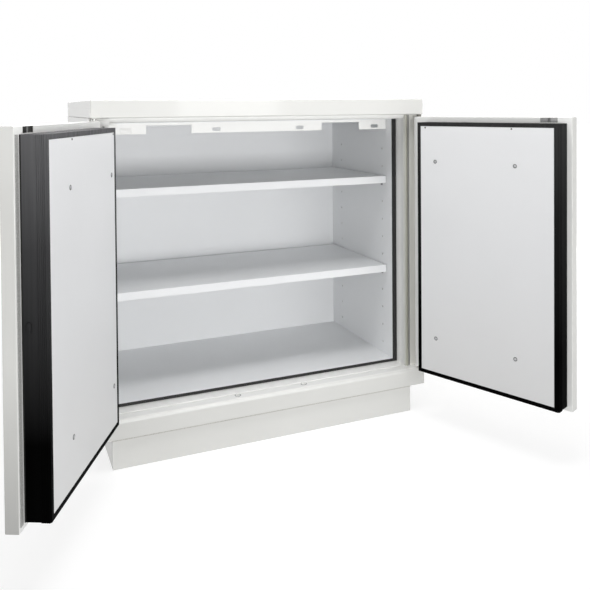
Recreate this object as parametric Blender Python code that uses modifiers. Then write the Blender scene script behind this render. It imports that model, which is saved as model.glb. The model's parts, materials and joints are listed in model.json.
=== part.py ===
"""Fireproof document cabinet: an insulated steel carcass on a plinth, with two plug doors standing open.

Metres, +Z up, front towards -Y. The origin is on the floor under the middle of the cabinet.
Carcass pieces hang on an empty in the front plane, so their y is the distance back from that plane.
Door pieces hang on empties on the hinge axes and are drawn closed; the empties turn them open.
"""

import math

import bmesh
import bpy
from mathutils import Matrix

# Overall sizes
WIDTH = 1.200
DEPTH = 0.745
HEIGHT = 1.164
PLINTH_HEIGHT = 0.097
BASE_HEIGHT = 0.061
COVER_HEIGHT = 0.058

# Sheet and clearances
SHEET = 0.002
SHELL = 0.0025
GAP = 0.0003

# Plinth
PLINTH_SIDE_INSET = 0.056
PLINTH_FRONT_INSET = 0.009
PLINTH_BACK_INSET = 0.030
PLINTH_FLANGE = 0.040
CROSS_RAIL_WIDTH = 0.080

# Base pan and cover
BASE_ROUND = 0.012
LEDGE_DEPTH = 0.125
COVER_ROUND = 0.004
COVER_LIP = 0.040
BOLT_SLOT_LENGTH = 0.026
BOLT_SLOT_WIDTH = 0.015

# Door frame and liner
DOOR_RECESS = 0.036
REBATE_DEPTH = 0.065
JAMB_WIDTH = 0.0605
JAMB_FACE = 0.0145
JAMB_GROOVE = 0.007
JAMB_STEP = 0.008
STOP_WIDTH = 0.017
HEAD_DROP = 0.0155
HEAD_STOP = 0.003
SILL_STOP = 0.010
SILL_MARGIN = 0.004
FRAME_ROUND = 0.0125
BACK_WALL = 0.130
CASING_FLANGE = 0.025
SEAL_CLEARANCE = 0.0015
SEAL_MARGIN = 0.0012

# Perforated liner sides
HOLE_RADIUS = 0.004
HOLE_PITCH = 0.069
HOLE_ROWS = 12
ROWS_OVER_UPPER_CLIP = 2
HOLE_FRONT = 0.172
HOLE_BACK = 0.525

# Shelves and clips
SHELF_FRONT = 0.136
SHELF_BACK_GAP = 0.020
SHELF_SIDE_GAP = 0.004
SHELF_THICKNESS = 0.027
SHELF_SHEET = 0.0015
LOWER_SHELF_TOP = 0.523
UPPER_SHELF_PITCHES = 5
CLIP_WIDTH = 0.014
CLIP_REACH = 0.017
CLIP_HEIGHT = 0.012
CLIP_THICKNESS = 0.002

# Slotted strip under the head
STRIP_FRONT = 0.137
STRIP_THICKNESS = 0.0015
STRIP_END_GAP = 0.003
STRIP_BAND = 0.009
TAB_DROP = 0.037
CENTRE_TAB_HALF = 0.247
CENTRE_SLOT_INSET = 0.089
END_TAB_WIDTH = 0.1165
END_SLOT_INSET = 0.050
STRIP_SLOT_LENGTH = 0.032
STRIP_SLOT_WIDTH = 0.013
STRIP_SLOT_DROP = 0.025

# Doors
DOOR_PROUD = 0.008
DOOR_THICKNESS = 0.035
DOOR_SIDE_GAP = 0.002
DOOR_BOTTOM_GAP = 0.006
DOOR_TOP_GAP = 0.008
MEETING_GAP = 0.003
DOOR_ROUND = 0.0025
PLUG_DEPTH = 0.065
PLUG_HINGE_INSET = 0.060
LEFT_FREE_INSET = 0.0275
RIGHT_FREE_INSET = 0.0175
PLUG_BOTTOM_INSET = 0.014
PLUG_TOP_INSET = 0.0195
PLUG_WALL = 0.003
PLUG_BORDER = 0.013
PANEL_SHEET = 0.002
PANEL_RECESS = 0.0005
SERVICE_INSET = 0.030
LEFT_OPEN_DEGREES = 116.1
RIGHT_OPEN_DEGREES = 112.8

# Hinge pivots
PIVOT_EDGE = 0.010
PIVOT_BACK = 0.009
PIVOT_RADIUS = 0.005
PIVOT_FLANGE_RADIUS = 0.0085
PIVOT_LENGTH = 0.020

# Edge seals and meeting strip
FIN_COUNT = 5
FIN_PITCH = 0.0045
FIN_HEIGHT = 0.0018
FIN_ROOT = 0.0012
FIN_MARGIN = 0.002
MEETING_STRIP_WIDTH = 0.0155
MEETING_STRIP_THICKNESS = 0.0012
MEETING_STRIP_MARGIN = 0.0045

# Bolt work
BOLT_WINDOW_WIDTH = 0.058
BOLT_WINDOW_MARGIN = 0.002
UPPER_ROD_X = 0.078
LOWER_ROD_X = 0.122
LOWER_ROD_INSET = 0.008
BOLT_HOLE_RADIUS = 0.0075
ROD_RADIUS = 0.006
CASE_LOW_X = 0.045
CASE_HIGH_X = 0.150
CASE_HEIGHT = 0.170
LOCK_Z = 0.640
HANDLE_X = 0.090
SPINDLE_RADIUS = 0.007
LEVER_LENGTH = 0.115
LEVER_WIDTH = 0.022
LEVER_THICKNESS = 0.012
LEVER_STANDOFF = 0.030
PLATE_WIDTH = 0.046
PLATE_HEIGHT = 0.190
PLATE_THICKNESS = 0.005
EDGE_LEVER_LENGTH = 0.026
EDGE_LEVER_WIDTH = 0.010
EDGE_LEVER_THICKNESS = 0.005
EDGE_LEVER_PIN = 0.003
EDGE_LEVER_DEPTH = 0.018

# Facets of round shapes
ARC_STEPS = 6
HOLE_FACETS = 16
PEG_FACETS = 12
PIN_FACETS = 20

SIDES = (("left", -1), ("right", 1))

# Levels and planes that follow from the sizes above
BASE_TOP = PLINTH_HEIGHT + BASE_HEIGHT
COVER_BOTTOM = HEIGHT - COVER_HEIGHT
SILL_TOP = BASE_TOP + GAP + SHEET
FLOOR_TOP = SILL_TOP + SILL_STOP
HEAD_BOTTOM = COVER_BOTTOM - HEAD_DROP
CEILING = HEAD_BOTTOM - HEAD_STOP
HALF = WIDTH / 2
JAMB_X = HALF - JAMB_WIDTH
LINER_X = JAMB_X - STOP_WIDTH
STOP_Y = DOOR_RECESS + REBATE_DEPTH
BACK_Y = DEPTH - BACK_WALL
UPPER_SHELF_TOP = LOWER_SHELF_TOP + UPPER_SHELF_PITCHES * HOLE_PITCH
CLIP_DROP = SHELF_THICKNESS + GAP + CLIP_HEIGHT / 2
DOOR_FRONT = -DOOR_PROUD
DOOR_BACK = DOOR_FRONT + DOOR_THICKNESS
DOOR_LOW_Z = BASE_TOP + DOOR_BOTTOM_GAP
DOOR_HIGH_Z = COVER_BOTTOM - DOOR_TOP_GAP
DOOR_FREE = MEETING_GAP / 2
DOOR_EDGE = HALF - DOOR_SIDE_GAP
PLUG_LOW_Z = DOOR_LOW_Z + PLUG_BOTTOM_INSET
PLUG_HIGH_Z = DOOR_HIGH_Z - PLUG_TOP_INSET
PLUG_EDGE = DOOR_EDGE - PLUG_HINGE_INSET
PLUG_FACE = DOOR_BACK + PLUG_DEPTH
PIVOT_X = DOOR_EDGE - PIVOT_EDGE
UPPER_ROD_Y = DOOR_FRONT + DOOR_THICKNESS / 2
LOWER_ROD_Y = DOOR_BACK + LOWER_ROD_INSET
SILL_FRONT = LOWER_ROD_Y + BOLT_HOLE_RADIUS + SILL_MARGIN


def clear_scene():
    for obj in list(bpy.data.objects):
        bpy.data.objects.remove(obj, do_unlink=True)


def make_collection(name):
    group = bpy.data.collections.new(name)
    bpy.context.scene.collection.children.link(group)
    return group


def make_material(name, color, roughness, metallic=0.0):
    material = bpy.data.materials.new(name)
    material.use_nodes = True
    shader = material.node_tree.nodes["Principled BSDF"]
    shader.inputs["Base Color"].default_value = (*color, 1.0)
    shader.inputs["Roughness"].default_value = roughness
    shader.inputs["Metallic"].default_value = metallic
    return material


clear_scene()
PARTS = make_collection("fireproof_document_cabinet")
CUTTERS = make_collection("cutters")

WHITE_PAINT = make_material("white_paint", (0.80, 0.80, 0.77), 0.35)
GREY_PAINT = make_material("light_grey_paint", (0.70, 0.72, 0.73), 0.45)
BLACK_COAT = make_material("black_coat", (0.025, 0.025, 0.025), 0.45)
BLACK_RUBBER = make_material("black_rubber", (0.02, 0.02, 0.02), 0.75)
GREY_STRIP = make_material("grey_strip", (0.32, 0.32, 0.31), 0.7)
INSULATION = make_material("fire_board", (0.62, 0.60, 0.55), 0.9)
STEEL = make_material("steel", (0.55, 0.55, 0.56), 0.3, 1.0)


def make_empty(name, parent, location, turn=0.0):
    empty = bpy.data.objects.new(name, None)
    PARTS.objects.link(empty)
    empty.parent = parent
    empty.location = location
    empty.rotation_euler = (0, 0, turn)
    return empty


def add_part(name, mesh, parent, material):
    obj = bpy.data.objects.new(name, mesh)
    PARTS.objects.link(obj)
    obj.parent = parent
    obj.data.materials.append(material)
    return obj


def add_cutter(name, mesh, parent):
    obj = bpy.data.objects.new(name, mesh)
    CUTTERS.objects.link(obj)
    obj.parent = parent
    obj.hide_render = True
    obj.display_type = "WIRE"
    return obj


def box_mesh(name, low, high):
    shape = bmesh.new()
    bmesh.ops.create_cube(shape, size=1.0)
    for vert in shape.verts:
        for axis in range(3):
            near, far = sorted((low[axis], high[axis]))
            vert.co[axis] = near if vert.co[axis] < 0 else far
    mesh = bpy.data.meshes.new(name)
    shape.to_mesh(mesh)
    shape.free()
    return mesh


def arc(centre, radius, start, end, steps=ARC_STEPS):
    """Points along an arc between two angles in degrees."""
    angles = [math.radians(start + (end - start) * i / steps) for i in range(steps + 1)]
    return [(centre[0] + radius * math.cos(a), centre[1] + radius * math.sin(a)) for a in angles]


def obround(centre, length, width):
    """A slot outline with round ends, long in its first direction."""
    reach = (length - width) / 2
    right = arc((centre[0] + reach, centre[1]), width / 2, -90, 90)
    left = arc((centre[0] - reach, centre[1]), width / 2, 90, 270)
    return right + left


# Where a flat outline's own directions and its extrusion point, for each extrusion axis
EXTRUDE = {
    "X": Matrix(((0, 0, 1), (1, 0, 0), (0, 1, 0))).to_4x4(),
    "Y": Matrix(((1, 0, 0), (0, 0, -1), (0, 1, 0))).to_4x4(),
    "Z": Matrix.Identity(4),
}


def prism_mesh(name, outline, axis, start, end):
    """A flat outline, drawn in the two other directions, extruded along an axis from start to end."""
    curve = bpy.data.curves.new(name + "_outline", "CURVE")
    curve.dimensions = "2D"
    curve.fill_mode = "BOTH"
    curve.extrude = abs(end - start) / 2
    spline = curve.splines.new("POLY")
    spline.points.add(len(outline) - 1)
    for point, (u, v) in zip(spline.points, outline):
        point.co = (u, v, 0, 1)
    spline.use_cyclic_u = True
    guide = bpy.data.objects.new(name + "_outline", curve)
    CUTTERS.objects.link(guide)
    graph = bpy.context.evaluated_depsgraph_get()
    mesh = bpy.data.meshes.new_from_object(guide.evaluated_get(graph))
    bpy.data.objects.remove(guide, do_unlink=True)
    mesh.materials.clear()
    shape = bmesh.new()
    shape.from_mesh(mesh)
    bmesh.ops.remove_doubles(shape, verts=shape.verts, dist=1e-6)
    bmesh.ops.recalc_face_normals(shape, faces=shape.faces)
    shift = Matrix.Translation([(start + end) / 2 if axis == letter else 0 for letter in "XYZ"])
    shape.transform(shift @ EXTRUDE[axis])
    shape.to_mesh(mesh)
    shape.free()
    return mesh


def cylinder_mesh(name, places, radius, axis, length, segments=HOLE_FACETS):
    """One or more like cylinders along an axis, centred at the places."""
    turn = {
        "X": Matrix.Rotation(math.pi / 2, 4, "Y"),
        "Y": Matrix.Rotation(math.pi / 2, 4, "X"),
        "Z": Matrix.Identity(4),
    }
    shape = bmesh.new()
    for place in places:
        bmesh.ops.create_cone(
            shape,
            cap_ends=True,
            segments=segments,
            radius1=radius,
            radius2=radius,
            depth=length,
            matrix=Matrix.Translation(place) @ turn[axis],
        )
    mesh = bpy.data.meshes.new(name)
    shape.to_mesh(mesh)
    shape.free()
    return mesh


def combine(obj, cutter, operation="DIFFERENCE"):
    modifier = obj.modifiers.new(cutter.name, "BOOLEAN")
    modifier.operation = operation
    modifier.solver = "EXACT"
    modifier.object = cutter


def cut_box(obj, name, low, high):
    combine(obj, add_cutter(name, box_mesh(name, low, high), obj.parent))


def cut_prism(obj, name, outline, axis, start, end):
    combine(obj, add_cutter(name, prism_mesh(name, outline, axis, start, end), obj.parent))


def cut_holes(obj, name, places, radius, axis, length):
    combine(obj, add_cutter(name, cylinder_mesh(name, places, radius, axis, length), obj.parent))


def round_edges(obj, width, segments=2):
    modifier = obj.modifiers.new("rounded_edges", "BEVEL")
    modifier.width = width
    modifier.segments = segments
    modifier.limit_method = "ANGLE"


def smooth(obj):
    obj.data.shade_smooth()
    obj.data.set_sharp_from_angle(angle=math.radians(35))


def box_part(name, parent, material, low, high):
    return add_part(name, box_mesh(name, low, high), parent, material)


def prism_part(name, parent, material, outline, axis, start, end):
    obj = add_part(name, prism_mesh(name, outline, axis, start, end), parent, material)
    smooth(obj)
    return obj


def turned_part(name, parent, material, profile, location):
    """A profile of radius and height, from the top of its axis down its outer side, turned round Z."""
    mesh = bpy.data.meshes.new(name)
    points = [(radius, 0, height) for radius, height in profile]
    mesh.from_pydata(points, [(i, i + 1) for i in range(len(points) - 1)], [])
    obj = add_part(name, mesh, parent, material)
    obj.location = location
    screw = obj.modifiers.new("turned", "SCREW")
    screw.steps = PIN_FACETS
    screw.render_steps = PIN_FACETS
    screw.use_merge_vertices = True
    screw.merge_threshold = 1e-5
    return obj


def plinth_rail(name, root, low, high, opening):
    """A folded rail: a closed box that is open on one side, towards the middle of the plinth."""
    rail = box_part(name, root, WHITE_PAINT, low, high)
    near = [edge + SHELL for edge in low]
    far = [edge - SHELL for edge in high]
    axis, side = opening
    if side > 0:
        far[axis] = high[axis] + SHELL
    else:
        near[axis] = low[axis] - SHELL
    cut_box(rail, f"{name}_hollow", near, far)


def build_plinth(root):
    side = HALF - PLINTH_SIDE_INSET
    front = PLINTH_FRONT_INSET
    back = DEPTH - PLINTH_BACK_INSET
    tall = PLINTH_HEIGHT - GAP
    flange = PLINTH_FLANGE
    near, far = front + flange + GAP, back - flange - GAP
    half = CROSS_RAIL_WIDTH / 2
    plinth_rail("plinth_front_rail", root, (-side, front, 0), (side, front + flange, tall), (1, 1))
    plinth_rail("plinth_back_rail", root, (-side, back - flange, 0), (side, back, tall), (1, -1))
    plinth_rail("plinth_left_rail", root, (-side, near, 0), (-side + flange, far, tall), (0, 1))
    plinth_rail("plinth_right_rail", root, (side - flange, near, 0), (side, far, tall), (0, -1))
    plinth_rail("plinth_cross_rail", root, (-half, near, 0), (half, far, tall), (2, 1))


def build_base(root):
    outline = [(0, PLINTH_HEIGHT)]
    outline += arc((BASE_ROUND, BASE_TOP - BASE_ROUND), BASE_ROUND, 180, 90)
    outline += [(DEPTH, BASE_TOP), (DEPTH, PLINTH_HEIGHT)]
    pan = prism_part("base_pan", root, WHITE_PAINT, outline, "X", -HALF, HALF)
    inner = HALF - SHELL
    low, high = PLINTH_HEIGHT + SHELL, BASE_TOP - SHELL
    hollow_round = BASE_ROUND - SHELL
    hollow = [(SHELL, low)]
    hollow += arc((BASE_ROUND, BASE_TOP - BASE_ROUND), hollow_round, 180, 90)
    hollow += [(DEPTH - SHELL, high), (DEPTH - SHELL, low)]
    cut_prism(pan, "base_hollow", hollow, "X", -inner, inner)
    cut_box(pan, "base_mouth", (-inner, LEDGE_DEPTH, high - SHELL), (inner, DEPTH - SHELL, BASE_TOP + SHELL))
    for label, sign in SIDES:
        place = (sign * LOWER_ROD_X, LOWER_ROD_Y, BASE_TOP)
        cut_holes(pan, f"{label}_base_bolt_hole", [place], BOLT_HOLE_RADIUS, "Z", 4 * SHELL)


def build_cover(root):
    cover = box_part("top_cover", root, WHITE_PAINT, (-HALF, 0, COVER_BOTTOM), (HALF, DEPTH, HEIGHT))
    round_edges(cover, COVER_ROUND, 3)
    inner = HALF - SHELL
    low, high = COVER_BOTTOM + SHELL, HEIGHT - SHELL
    cut_box(cover, "cover_hollow", (-inner, SHELL, low), (inner, DEPTH - SHELL, high))
    mouth_low = (-inner, COVER_LIP, COVER_BOTTOM - SHELL)
    cut_box(cover, "cover_mouth", mouth_low, (inner, DEPTH - SHELL, low + SHELL))
    for label, sign in SIDES:
        slot = obround((sign * UPPER_ROD_X, UPPER_ROD_Y), BOLT_SLOT_LENGTH, BOLT_SLOT_WIDTH)
        cut_prism(cover, f"{label}_cover_slot", slot, "Z", COVER_BOTTOM - SHELL, low + SHELL)


def build_casing(root):
    low, high = BASE_TOP + GAP, COVER_BOTTOM - GAP
    back = DEPTH - SHEET - GAP
    lip = JAMB_X + JAMB_FACE + JAMB_GROOVE
    for label, sign in SIDES:
        outline = [
            (lip, DOOR_RECESS),
            (HALF, DOOR_RECESS),
            (HALF, back),
            (HALF - CASING_FLANGE, back),
            (HALF - CASING_FLANGE, back - SHEET),
            (HALF - SHEET, back - SHEET),
            (HALF - SHEET, DOOR_RECESS + SHEET),
            (lip, DOOR_RECESS + SHEET),
        ]
        outline = [(sign * x, y) for x, y in outline]
        prism_part(f"{label}_side_casing", root, WHITE_PAINT, outline, "Z", low, high)
    sheet = box_part("back_casing", root, WHITE_PAINT, (-HALF, DEPTH - SHEET, low), (HALF, DEPTH, high))
    round_edges(sheet, SHEET / 4, 1)


def build_insulation(root):
    reach = HALF - SHEET - GAP
    inner = JAMB_X + GAP
    front = STOP_Y + SHEET + GAP
    back = DEPTH - 2 * SHEET - 2 * GAP
    low, high = BASE_TOP + GAP, COVER_BOTTOM - GAP
    for label, sign in SIDES:
        near, far = (sign * inner, front, low), (sign * reach, back, high)
        box_part(f"{label}_insulation", root, INSULATION, near, far)
    between = JAMB_X - GAP
    box_part(
        "back_insulation",
        root,
        INSULATION,
        (-between, BACK_Y + SHEET + GAP, low),
        (between, DEPTH - SHEET - GAP, CEILING - GAP),
    )
    wide = HALF - SHELL - GAP
    crown = HEIGHT - SHELL - GAP
    ceiling = CEILING + SHEET + GAP
    outline = [
        (-between, ceiling),
        (between, ceiling),
        (between, COVER_BOTTOM),
        (wide, COVER_BOTTOM),
        (wide, crown),
        (-wide, crown),
        (-wide, COVER_BOTTOM),
        (-between, COVER_BOTTOM),
    ]
    prism_part("top_insulation", root, INSULATION, outline, "Y", front, DEPTH - SHELL - GAP)
    box_part(
        "bottom_insulation",
        root,
        INSULATION,
        (-wide, SILL_FRONT, PLINTH_HEIGHT + SHELL + GAP),
        (wide, DEPTH - SHELL - GAP, BASE_TOP - SHELL - GAP),
    )


def folded_edge(far_u, edge_u, front_v, back_v):
    """A sheet that runs along the front from far_u, turns round at edge_u and goes back to back_v."""
    inwards = 1 if far_u > edge_u else -1
    start, end = (270, 180) if inwards > 0 else (270, 360)
    centre = (edge_u + inwards * FRAME_ROUND, front_v + FRAME_ROUND)
    outside = arc(centre, FRAME_ROUND, start, end)
    inside = arc(centre, FRAME_ROUND - SHEET, end, start)
    skin = edge_u + inwards * SHEET
    return [(far_u, front_v), *outside, (edge_u, back_v), (skin, back_v), *inside, (far_u, front_v + SHEET)]


def build_frame(root):
    back = STOP_Y - GAP
    far = HALF - SHEET - GAP
    step_x, step_y = JAMB_X + JAMB_FACE, DOOR_RECESS + JAMB_STEP
    outline = [(far, step_y), (step_x, step_y)]
    outline += folded_edge(step_x, JAMB_X, DOOR_RECESS, back)[:-1]
    inside = step_x - SHEET
    outline += [(inside, DOOR_RECESS + SHEET), (inside, step_y + SHEET), (far, step_y + SHEET)]
    for label, sign in SIDES:
        turned = [(sign * x, y) for x, y in outline]
        prism_part(f"{label}_jamb", root, WHITE_PAINT, turned, "Z", BASE_TOP + GAP, COVER_BOTTOM - GAP)
    reach = JAMB_X - GAP
    outline = [(y, z) for z, y in folded_edge(COVER_BOTTOM - GAP, HEAD_BOTTOM, DOOR_RECESS, back)]
    prism_part("frame_head", root, WHITE_PAINT, outline, "X", -reach, reach)
    low = BASE_TOP + GAP
    sill = box_part("frame_sill", root, WHITE_PAINT, (-reach, SILL_FRONT, low), (reach, back, SILL_TOP))
    round_edges(sill, SHEET / 4, 1)


def build_liner(root):
    reach = JAMB_X - GAP
    far = BACK_Y - GAP
    low, high = FLOOR_TOP + GAP, CEILING - GAP
    for label, sign in SIDES:
        outline = [
            (reach, STOP_Y),
            (LINER_X, STOP_Y),
            (LINER_X, far),
            (LINER_X + SHEET, far),
            (LINER_X + SHEET, STOP_Y + SHEET),
            (reach, STOP_Y + SHEET),
        ]
        outline = [(sign * x, y) for x, y in outline]
        side = prism_part(f"liner_{label}", root, GREY_PAINT, outline, "Z", low, high)
        rows_under = HOLE_ROWS - 1 - ROWS_OVER_UPPER_CLIP
        first = UPPER_SHELF_TOP - CLIP_DROP - rows_under * HOLE_PITCH
        levels = [first + i * HOLE_PITCH for i in range(HOLE_ROWS)]
        places = [(sign * (LINER_X + SHEET / 2), y, z) for y in (HOLE_FRONT, HOLE_BACK) for z in levels]
        cut_holes(side, f"{label}_shelf_holes", places, HOLE_RADIUS, "X", 4 * SHEET)
    floor_skin = FLOOR_TOP - SHEET
    floor = [
        (STOP_Y, BASE_TOP + GAP),
        (STOP_Y, FLOOR_TOP),
        (far, FLOOR_TOP),
        (far, floor_skin),
        (STOP_Y + SHEET, floor_skin),
        (STOP_Y + SHEET, BASE_TOP + GAP),
    ]
    prism_part("liner_floor", root, GREY_PAINT, floor, "X", -reach, reach)
    top = HEAD_BOTTOM - GAP
    ceiling = [
        (STOP_Y, top),
        (STOP_Y, CEILING),
        (far, CEILING),
        (far, CEILING + SHEET),
        (STOP_Y + SHEET, CEILING + SHEET),
        (STOP_Y + SHEET, top),
    ]
    prism_part("liner_top", root, GREY_PAINT, ceiling, "X", -reach, reach)
    back_low, back_high = (-reach, BACK_Y, BASE_TOP + GAP), (reach, BACK_Y + SHEET, CEILING)
    box_part("liner_back", root, GREY_PAINT, back_low, back_high)


def build_seal(root):
    """A rubber strip up both sides and along the sill, open under the head."""
    front = PLUG_FACE + SEAL_CLEARANCE
    back = STOP_Y - GAP
    reach = JAMB_X - SEAL_MARGIN
    inner = LINER_X + SEAL_MARGIN
    low, high = SILL_TOP + SEAL_MARGIN, HEAD_BOTTOM - SEAL_MARGIN
    inner_low = FLOOR_TOP - SEAL_MARGIN
    seal = box_part("frame_seal", root, BLACK_RUBBER, (-reach, front, low), (reach, back, high))
    cut_box(seal, "seal_opening", (-inner, front - SHEET, inner_low), (inner, back + SHEET, HEAD_BOTTOM))


def build_strip(root):
    top = CEILING - GAP
    low = top - TAB_DROP
    end = LINER_X - STRIP_END_GAP
    back = STRIP_FRONT + STRIP_THICKNESS
    near, far = STRIP_FRONT - STRIP_THICKNESS, back + STRIP_THICKNESS
    strip = box_part("head_strip", root, WHITE_PAINT, (-end, STRIP_FRONT, low), (end, back, top))
    slots = {"centre": CENTRE_TAB_HALF - CENTRE_SLOT_INSET, "end": end - END_SLOT_INSET}
    for label, sign in SIDES:
        notch_low = (sign * CENTRE_TAB_HALF, near, low - STRIP_BAND)
        notch_high = (sign * (end - END_TAB_WIDTH), far, top - STRIP_BAND)
        cut_box(strip, f"{label}_strip_notch", notch_low, notch_high)
        for place, x in slots.items():
            slot = obround((sign * x, top - STRIP_SLOT_DROP), STRIP_SLOT_LENGTH, STRIP_SLOT_WIDTH)
            cut_prism(strip, f"{label}_{place}_slot", slot, "Y", near, far)


def build_shelves(root):
    reach = LINER_X - SHELF_SIDE_GAP
    far = BACK_Y - SHELF_BACK_GAP
    for label, top in (("upper", UPPER_SHELF_TOP), ("lower", LOWER_SHELF_TOP)):
        low = top - SHELF_THICKNESS
        shelf = box_part(f"{label}_shelf", root, GREY_PAINT, (-reach, SHELF_FRONT, low), (reach, far, top))
        skin = SHELF_SHEET
        cut_box(
            shelf,
            f"{label}_shelf_hollow",
            (-reach + skin, SHELF_FRONT + skin, low - skin),
            (reach - skin, far - skin, top - skin),
        )
        build_clips(root, label, top)


def build_clips(root, label, shelf_top):
    """Four clips, each an angle under the shelf with a peg in a hole of the liner."""
    high = shelf_top - SHELF_THICKNESS - GAP
    low = high - CLIP_HEIGHT
    wall = LINER_X - GAP
    outline = [
        (wall, low),
        (wall, high),
        (wall - CLIP_REACH, high),
        (wall - CLIP_REACH, high - CLIP_THICKNESS),
        (wall - CLIP_THICKNESS, high - CLIP_THICKNESS),
        (wall - CLIP_THICKNESS, low),
    ]
    for side, sign in SIDES:
        for place, y in (("front", HOLE_FRONT), ("back", HOLE_BACK)):
            turned = [(sign * x, z) for x, z in outline]
            name = f"{label}_clip_{side}_{place}"
            clip = prism_part(name, root, STEEL, turned, "Y", y - CLIP_WIDTH / 2, y + CLIP_WIDTH / 2)
            inner, outer = wall - CLIP_THICKNESS / 2, LINER_X + SHEET
            centre = (sign * (inner + outer) / 2, y, (low + high) / 2)
            peg = cylinder_mesh(name + "_peg", [centre], HOLE_RADIUS - GAP, "X", outer - inner, PEG_FACETS)
            combine(clip, add_cutter(name + "_peg", peg, root), "UNION")


def build_pivots(root):
    """Flanged pins between the cover and base lips and the corners of the doors."""
    levels = {
        "top": (COVER_BOTTOM - GAP, DOOR_HIGH_Z + GAP, DOOR_HIGH_Z - PIVOT_LENGTH),
        "bottom": (BASE_TOP + GAP, DOOR_LOW_Z - GAP, DOOR_LOW_Z + PIVOT_LENGTH),
    }
    for label, sign in SIDES:
        for end, (seat, shoulder, tip) in levels.items():
            profile = [
                (0, seat),
                (PIVOT_FLANGE_RADIUS, seat),
                (PIVOT_FLANGE_RADIUS, shoulder),
                (PIVOT_RADIUS, shoulder),
                (PIVOT_RADIUS, tip),
                (0, tip),
            ]
            if seat < tip:
                profile.reverse()
            turned_part(f"{label}_pivot_{end}", root, STEEL, profile, (sign * PIVOT_X, PIVOT_BACK, 0))


class Door:
    """One leaf: its hinge empty, and places measured closed, from the cabinet's middle outwards."""

    def __init__(self, root, label, sign, open_degrees, free_inset):
        self.label = label
        self.sign = sign
        self.plug_free = DOOR_FREE + free_inset
        turn = sign * math.radians(open_degrees)
        self.hinge = make_empty(f"{label}_hinge_axis", root, (sign * PIVOT_X, PIVOT_BACK, 0), turn)

    def place(self, x, y, z):
        return (self.sign * (x - PIVOT_X), y - PIVOT_BACK, z)

    def flat(self, points):
        return [(self.sign * (x - PIVOT_X), y - PIVOT_BACK) for x, y in points]

    def box(self, name, material, low, high):
        return box_part(f"{self.label}_{name}", self.hinge, material, self.place(*low), self.place(*high))

    def cut(self, obj, name, low, high):
        cut_box(obj, f"{self.label}_{name}", self.place(*low), self.place(*high))

    def drill(self, obj, name, x, y, z, radius, axis, length):
        cut_holes(obj, f"{self.label}_{name}", [self.place(x, y, z)], radius, axis, length)


def build_door_panel(door):
    panel = door.box(
        "door_panel",
        WHITE_PAINT,
        (DOOR_FREE, DOOR_FRONT, DOOR_LOW_Z),
        (DOOR_EDGE, DOOR_BACK, DOOR_HIGH_Z),
    )
    round_edges(panel, DOOR_ROUND)
    door.cut(
        panel,
        "panel_hollow",
        (DOOR_FREE + SHEET, DOOR_FRONT + SHEET, DOOR_LOW_Z + SHEET),
        (DOOR_EDGE - SHEET, DOOR_BACK - SHEET, DOOR_HIGH_Z - SHEET),
    )
    door.cut(
        panel,
        "panel_service_opening",
        (door.plug_free + SERVICE_INSET, DOOR_BACK - 2 * SHEET, PLUG_LOW_Z + SERVICE_INSET),
        (PLUG_EDGE - SERVICE_INSET, DOOR_BACK + SHEET, PLUG_HIGH_Z - SERVICE_INSET),
    )
    half = BOLT_WINDOW_WIDTH / 2
    door.cut(
        panel,
        "bolt_window",
        (UPPER_ROD_X - half, DOOR_BACK - 2 * SHEET, PLUG_HIGH_Z + BOLT_WINDOW_MARGIN),
        (UPPER_ROD_X + half, DOOR_BACK + SHEET, DOOR_HIGH_Z - BOLT_WINDOW_MARGIN),
    )
    for end, level in (("top", DOOR_HIGH_Z), ("bottom", DOOR_LOW_Z)):
        door.drill(panel, f"pivot_hole_{end}", PIVOT_X, PIVOT_BACK, level, PIVOT_RADIUS + GAP, "Z", 4 * SHEET)
    door.drill(panel, "rod_hole_top", UPPER_ROD_X, UPPER_ROD_Y, DOOR_HIGH_Z, ROD_RADIUS + GAP, "Z", 4 * SHEET)
    return panel


def build_plug(door):
    low_z, high_z = PLUG_LOW_Z, PLUG_HIGH_Z
    free = door.plug_free
    front = DOOR_BACK + GAP
    frame = door.box("plug_frame", BLACK_COAT, (free, front, low_z), (PLUG_EDGE, PLUG_FACE, high_z))
    wall = PLUG_WALL
    door.cut(
        frame,
        "plug_hollow",
        (free + wall, front - wall, low_z + wall),
        (PLUG_EDGE - wall, PLUG_FACE - wall, high_z - wall),
    )
    border = PLUG_BORDER
    door.cut(
        frame,
        "plug_mouth",
        (free + border, PLUG_FACE - 2 * wall, low_z + border),
        (PLUG_EDGE - border, PLUG_FACE + wall, high_z - border),
    )
    hole = ROD_RADIUS + GAP
    door.drill(frame, "rod_hole_bottom", LOWER_ROD_X, LOWER_ROD_Y, low_z, hole, "Z", 4 * wall)
    snug = wall + GAP
    core_back = PLUG_FACE - wall - GAP
    core = door.box(
        "door_core",
        INSULATION,
        (free + snug, front, low_z + snug),
        (PLUG_EDGE - snug, core_back, high_z - snug),
    )
    door.cut(
        core,
        "rod_channel",
        (LOWER_ROD_X - hole, front - wall, low_z),
        (LOWER_ROD_X + hole, LOWER_ROD_Y + hole, LOCK_Z - CASE_HEIGHT / 2),
    )
    lined = border + GAP
    panel = door.box(
        "inner_panel",
        GREY_PAINT,
        (free + lined, PLUG_FACE - PANEL_RECESS - PANEL_SHEET, low_z + lined),
        (PLUG_EDGE - lined, PLUG_FACE - PANEL_RECESS, high_z - lined),
    )
    round_edges(panel, PANEL_SHEET / 4, 1)
    return frame


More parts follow.
